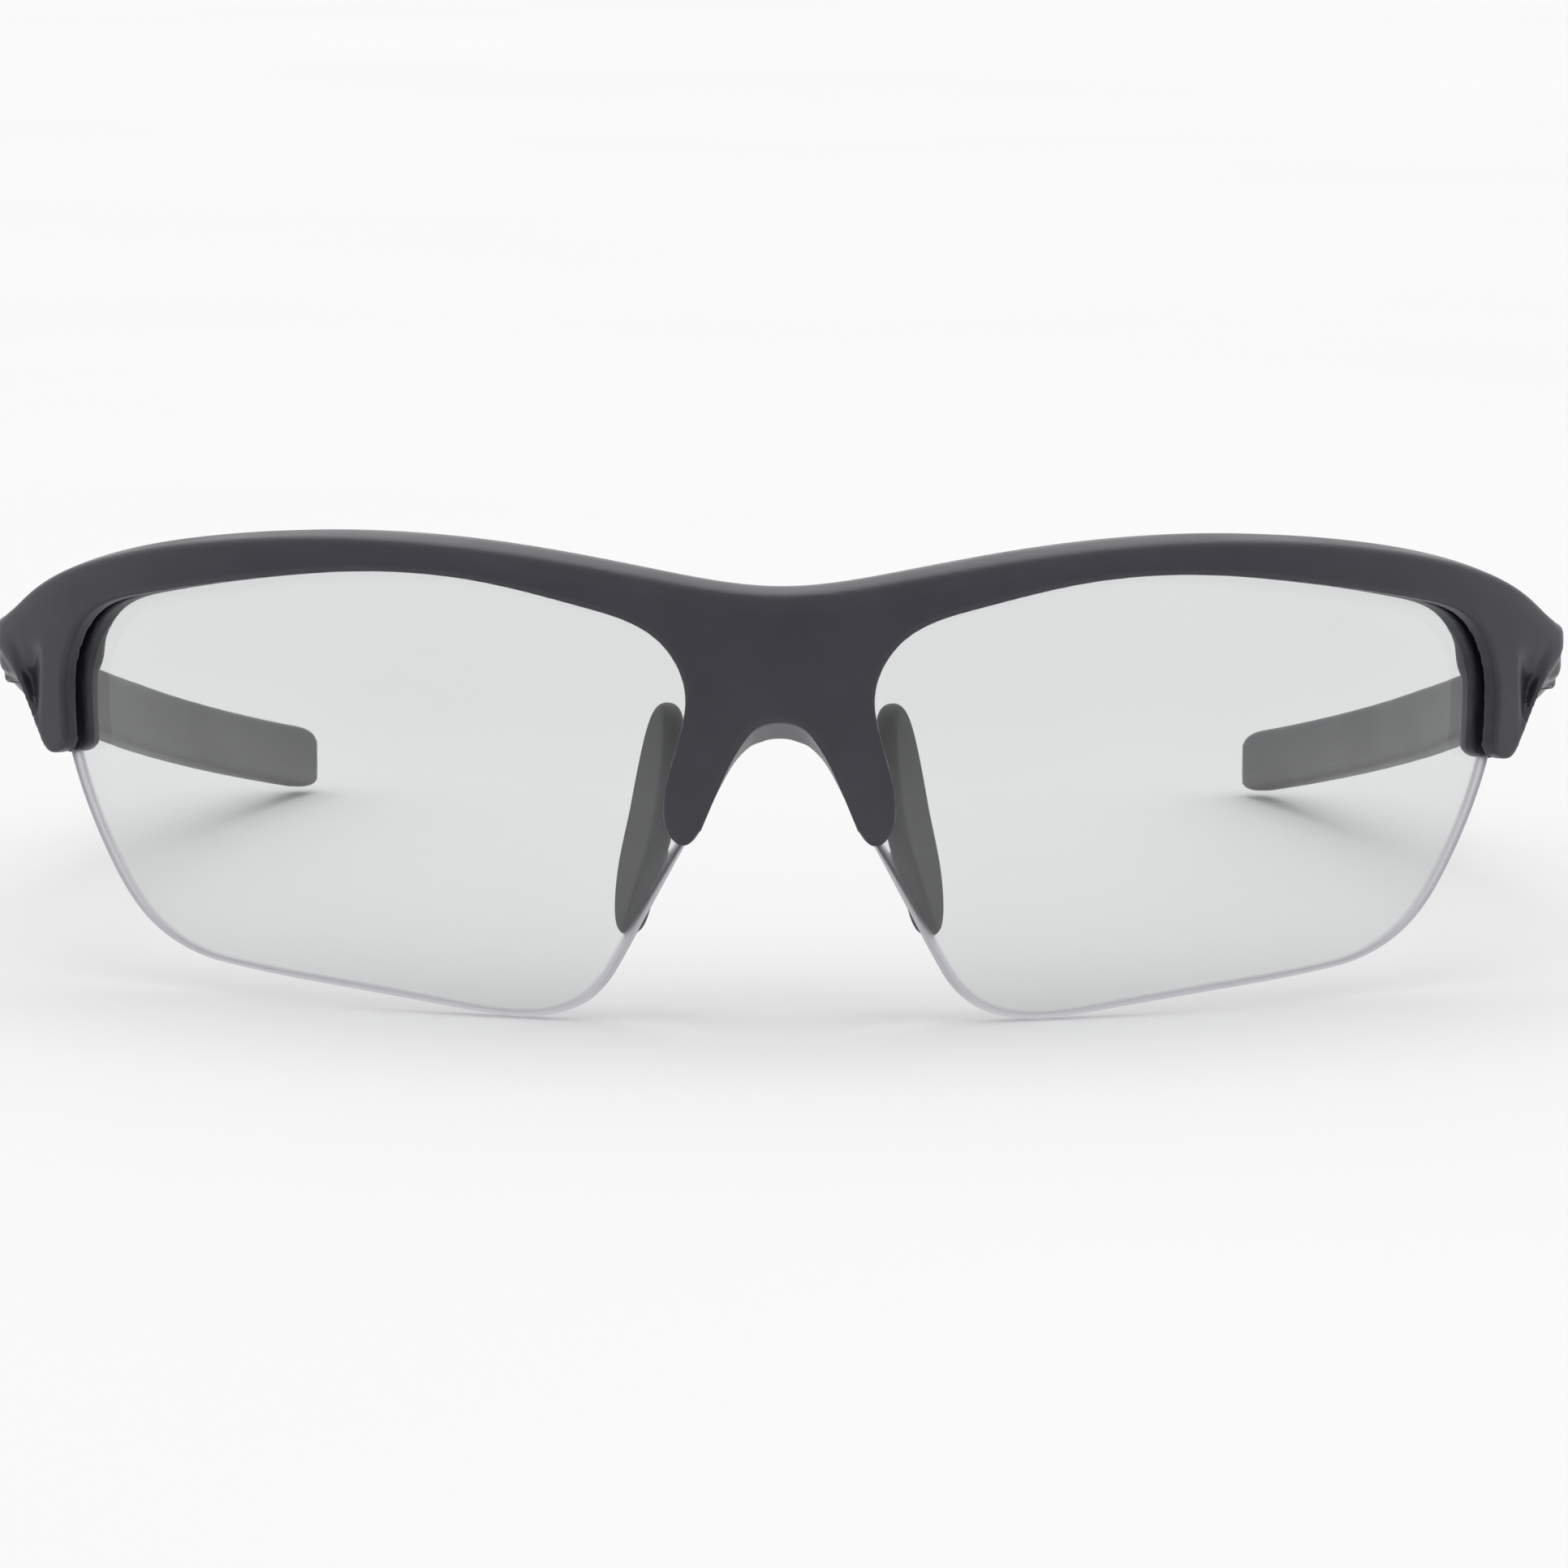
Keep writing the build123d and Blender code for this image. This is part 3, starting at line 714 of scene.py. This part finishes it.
def mark_rim(piece, row_values, columns):
    """Keep, on each point, how far it belongs to the ground rim; the lens material reads it for the rim's
    roughness and its painted shade.
    """
    values = np.concatenate([row_values[:1], np.repeat(row_values[1:-1], columns), row_values[-1:]])
    attribute = piece.data.attributes.new("rim", "FLOAT", "POINT")
    attribute.data.foreach_set("value", values)


for side_name, side in SIDES.items():
    lens_grid, rim_rows = lens_surface(side)
    lens = closed_piece(
        "lens_skin_" + side_name, lens_grid, "front", "lens_clear", ["lens_" + side_name], lens_clear)
    mark_rim(lens, rim_rows, lens_grid.shape[1])

# %% [markdown]
# The temples are bars that bow in towards the head and rise a little, with softer outer edges and a rounded
# tip. The hinge end has a thicker root with a tongue that sits between the lugs. The same field arithmetic
# gives bar, root and tongue in one skin, and the sleeve is the same bar further back.

# %% The bowed bar
REACH = 107.9
BOW = 18.0
RISE = 1.6
LIFT = 2.55
BAR_THICK = 3.3
BAR_HIGH = (5.3, 6.7, 6.6)
OUTER = 2.08
OUTER_ROUND = 1.6
INNER_ROUND = 0.9
TIP_STRETCH = 0.45
TIP_LOW_ROUND = 1.7
TIP_HIGH_ROUND = 2.3
TIP_RIM_ROUND = 0.5
PAST_TIP = 1.1


def bar_field(hx, along, pin):
    """Distance to the bowed bar: half thickness by half height around a middle line, rounded, with a tip.

    The middle line goes in by the square of the way along, and up by the way along and its square.
    """
    part = np.clip(along / REACH, 0, PAST_TIP)
    middle = OUTER - BAR_THICK / 2 - BOW * part**2
    slope = 1 / np.sqrt(1 + (2 * BOW * part / REACH) ** 2)
    across = (hx - middle) * slope
    above = pin - RISE * part - LIFT * part**2
    half_high = np.interp(along, (0, REACH / 2, REACH), BAR_HIGH) / 2
    edge_round = np.where(across > 0, OUTER_ROUND, INNER_ROUND)
    profile = common(np.abs(across) - BAR_THICK / 2, np.abs(above) - half_high, edge_round)
    tip_round = np.interp(above, (-1.0, 1.0), (TIP_LOW_ROUND, TIP_HIGH_ROUND))
    side_view = common(np.abs(above) - half_high, (along - REACH) * TIP_STRETCH, tip_round)
    return common(profile, side_view, TIP_RIM_ROUND)


# %% Root, tongue and sleeve
BAR_START = 2.3
GRIP_START = 28.0
SEAM = 0.12
FRONT_END_ROUND = 0.25
SEAM_ROUND = 0.15
ROOT_TAPER_END = 16.0
ROOT_END = 17.0
ROOT_SUNK = 0.5
ROOT_HALF = 2.2
ROOT_ROUND = 0.5
ROOT_END_ROUND = 0.2
ROOT_FILLET = 0.6
TONGUE_END = 3.3
TONGUE_ROUND = 0.1
TONGUE_BORE_R = 0.75


def root_field(hx, along, pin):
    """The thicker root: its inner side starts level with the lugs and tapers back into the bar."""
    inner_side = np.interp(along, (BAR_START, ROOT_TAPER_END), (-LUG_R, OUTER - BAR_THICK))
    root = common(np.maximum(inner_side - hx, hx - ROOT_SUNK), np.abs(pin) - ROOT_HALF, ROOT_ROUND)
    return common(root, np.maximum(BAR_START - along, along - ROOT_END), ROOT_END_ROUND)


def tongue_field(hx, along, pin):
    """The flat tongue: a disc about the pin, and a straight neck from it into the root."""
    disc = np.hypot(hx, along) - LUG_R
    neck = np.maximum(np.abs(hx) - LUG_R, np.maximum(-along, along - TONGUE_END))
    return common(np.minimum(disc, neck), np.abs(pin) - TONGUE_HALF, TONGUE_ROUND)


def temple_field(hx, along, pin):
    """The hard part of the temple: the bar up to the sleeve, with root and tongue, less the screw's bore."""
    body = common(bar_field(hx, along, pin), BAR_START - along, FRONT_END_ROUND)
    body = common(body, along - GRIP_START, SEAM_ROUND)
    body = joined(body, root_field(hx, along, pin), ROOT_FILLET)
    body = np.minimum(body, tongue_field(hx, along, pin))
    return np.maximum(body, TONGUE_BORE_R - np.hypot(hx, along))


def grip_field(hx, along, pin):
    """The sleeve: the same bar from the seam back to its tip."""
    return common(bar_field(hx, along, pin), GRIP_START + SEAM - along, SEAM_ROUND)


# %% [markdown]
# One temple's skins are made in the hinge's own directions, where the bar runs straight down the grid, and
# are then turned into the part's frame. The other temple is the mirror image.

# %% Temples
def hinge_place(hx, along, pin):
    """The way back from the hinge's own directions to the part's frame, in mm."""
    y = HINGE[1] + along * math.cos(LEAN) + pin * math.sin(LEAN)
    z = HINGE[2] - along * math.sin(LEAN) + pin * math.cos(LEAN)
    return HINGE[0] + hx, y, z


def mirrored(points, quads, side):
    """The same skin for one side; the mirror image has its faces turned round again."""
    if side > 0:
        return points, quads
    return points * (-1, 1, 1), quads[:, ::-1]


def hinge_skin(field, low, high):
    """A field's skin, made between two corners in the hinge's directions and put into the part's frame."""
    grid = cells(low, high)
    points, quads = skin(field(*grid), [axis.min() for axis in grid])
    return np.column_stack(hinge_place(*points.T)), quads


temple_skin = hinge_skin(temple_field, (-3.5, -2.8, -4.2), (3.8, 29.2, 4.2))
grip_skin = hinge_skin(grip_field, (-18.9, 27.2, -4.4), (3.8, 109.0, 7.6))
for side_name, side in SIDES.items():
    body_name = "temple_arm_" + side_name
    mesh_object("temple_skin_" + side_name, *mirrored(*temple_skin, side), body_name, "frame_plastic",
                ["temple_" + side_name], frame_nylon)
    mesh_object("grip_skin_" + side_name, *mirrored(*grip_skin, side), body_name, "grip_rubber",
                ["ear_grip_" + side_name], grip_rubber)

# %% [markdown]
# The nose pads are soft leaves with rounded rims, standing behind the legs of the front. Each is a leaf
# outline given thickness and a rounded rim, and placed by its own three directions: back, up, and across
# its face.

# %% Nose pads
HALF_LEAF = 1.0
LEAF_ROUND = 0.9
LEAF_STEPS = np.linspace(0, 1, 9)[:-1]
LEAF_TURN = np.linspace(0, math.pi / 2, 7)
PAD_PLACE = np.array([11.0, BRIDGE_Y + 10.6, 16.6])
SPLAY = math.radians(22.0)
CANT = math.radians(11.0)
PAD_BACK = np.array([math.sin(SPLAY), math.cos(SPLAY), 0])
PAD_FACE = np.array([
    math.cos(SPLAY) * math.cos(CANT),
    -math.sin(SPLAY) * math.cos(CANT),
    math.sin(CANT),
])
PAD_UP = np.cross(PAD_FACE, PAD_BACK)
LEAF = np.vstack([
    smooth_curve([(0.4, 10.1), (2.9, 5.0), (3.4, -2.5), (2.4, -8.2), (0.4, -10.1)], (1, 0), (-1, 0), 0.4),
    smooth_curve([(0.4, -10.1), (-1.4, -7.6), (-3.6, -1.5), (-2.7, 6.0), (0.4, 10.1)], (-1, 0), (1, 0), 0.4),
])


def leaf_surface(side):
    """Around the leaf (u) by in-out-over-back (v). The rim falls by a quarter circle on either face."""
    reach = np.linalg.norm(LEAF, axis=1, keepdims=True)
    rows = [LEAF * part * (1 - LEAF_ROUND / reach) for part in LEAF_STEPS]
    rows += [LEAF * (1 - LEAF_ROUND * (1 - math.sin(turn)) / reach) for turn in LEAF_TURN]
    falls = np.append(np.zeros(len(LEAF_STEPS)), LEAF_ROUND * (1 - np.cos(LEAF_TURN)))
    heights = HALF_LEAF - falls
    flat = np.array(rows + rows[::-1])
    height = np.append(heights, -heights[::-1])[:, None, None]
    points = PAD_PLACE + flat[..., :1] * PAD_BACK + flat[..., 1:] * PAD_UP + height * PAD_FACE
    return points * (side, 1, 1)


for side_name, side in SIDES.items():
    closed_piece(
        "pad_skin_" + side_name, leaf_surface(side), "front", "pad_rubber", ["nose_pad_" + side_name],
        pad_rubber)

# %% [markdown]
# Screws, nuts and the hidden cores are small turned and stamped parts that the design already draws in
# full, so they stay as they are and only get their metals.

# %% Metal parts
METALS = {
    "hinge_screw": screw_steel,
    "hinge_nut": nut_steel,
    "temple_core": spring_steel,
    "nose_pad_core": spring_steel,
}
for part, finish in METALS.items():
    for side_name in SIDES:
        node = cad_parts[f"{part}_{side_name}"]
        node.data.materials.clear()
        node.data.materials.append(finish)
print("metal finishes on", sorted(METALS))

# %% [markdown]
# A product picture of clear lenses wants a white room: a pale floor that runs on to a white surround, one
# wide soft light above. The floor is large enough that its far edge is lost in the surround.

# %% Floor
FLOOR_HALF = 6.0


def pale_floor():
    """A square of matt white paper, hardly mottled."""
    mesh = bpy.data.meshes.new("floor")
    corners = [(x * FLOOR_HALF, y * FLOOR_HALF, 0) for x, y in ((-1, -1), (1, -1), (1, 1), (-1, 1))]
    mesh.from_pydata(corners, [], [(0, 1, 2, 3)])
    floor = bpy.data.objects.new("floor", mesh)
    bpy.context.scene.collection.objects.link(floor)
    material, tree, shader = principled("floor_pale")
    paper = shades(tree, noise(tree, 3.0), (0.93, 0.93, 0.93), (0.95, 0.95, 0.95))
    tree.links.new(paper, shader.inputs["Base Color"])
    shader.inputs["Roughness"].default_value = 0.9
    shader.inputs["Specular IOR Level"].default_value = 0.1
    mesh.materials.append(material)


pale_floor()


# %% [markdown]
# The surround is the world's background: only its brightness changes with direction. It is full behind the
# object, straight above and at floor level, and dimmer in front, so that the dark front keeps its depth
# instead of mirroring a white wall.

# %% Surround and light
ROOM_LEVEL = 0.58
BACKDROP_LEVEL = 0.98
BEHIND = (-0.3, 0.5)
LEVEL_WITH_FLOOR = (0.16, -0.02)
OVERHEAD = (0.5, 0.95)


def studio_surround():
    """Brightness: the greatest of three ramps, over the direction's Y, its Z near 0, and its Z near 1."""
    world = bpy.data.worlds.new("studio_surround")
    bpy.context.scene.world = world
    world.use_nodes = True
    tree = world.node_tree
    parts = add_node(tree, "ShaderNodeSeparateXYZ")
    tree.links.new(add_node(tree, "ShaderNodeTexCoord").outputs["Generated"], parts.inputs["Vector"])
    level = None
    for axis, (start, end) in (("Y", BEHIND), ("Z", LEVEL_WITH_FLOOR), ("Z", OVERHEAD)):
        rising = map_range(tree, parts.outputs[axis], start, end, ROOM_LEVEL, BACKDROP_LEVEL)
        if level is None:
            level = rising
            continue
        brighter = add_node(tree, "ShaderNodeMath", operation="MAXIMUM")
        tree.links.new(level, brighter.inputs[0])
        tree.links.new(rising, brighter.inputs[1])
        level = brighter.outputs["Value"]
    tree.links.new(level, tree.nodes["Background"].inputs["Strength"])
    tree.nodes["Background"].inputs["Color"].default_value = (1.0, 1.0, 1.0, 1.0)


def overhead_light(strength, spread_degrees, back_tilt):
    """A very wide, soft light from above, tilted a little so that it comes from behind the object."""
    data = bpy.data.lights.new("overhead", "SUN")
    data.energy = strength
    data.angle = math.radians(spread_degrees)
    light = bpy.data.objects.new("overhead", data)
    light.location = (0, 0.3, 1.0)
    light.rotation_euler = (-math.radians(back_tilt), 0, 0)
    bpy.context.scene.collection.objects.link(light)


studio_surround()
overhead_light(strength=0.55, spread_degrees=50.0, back_tilt=20.0)
bpy.context.scene.view_settings.view_transform = "Standard"

# %% [markdown]
# The camera is a long lens about 600 mm in front of the bridge and a little above it, looking slightly down.
# A long lens from that far keeps the temples' real taper in the view without swelling the bridge.

# %% Camera
CAMERA_PLACE = (0.0, -0.673, 0.105)
FOCAL_LENGTH = 165.0
LOOK_DOWN = 7.95
ROLL = -0.25


def front_camera():
    """A camera in front of the bridge, turned down and a hair round its own line of sight."""
    data = bpy.data.cameras.new("camera")
    data.sensor_width = 36.0
    data.lens = FOCAL_LENGTH
    data.clip_start = 0.01
    camera = bpy.data.objects.new("camera", data)
    camera.location = CAMERA_PLACE
    camera.rotation_euler = (math.radians(90.0 - LOOK_DOWN), math.radians(ROLL), 0)
    bpy.context.scene.collection.objects.link(camera)
    bpy.context.scene.camera = camera


front_camera()
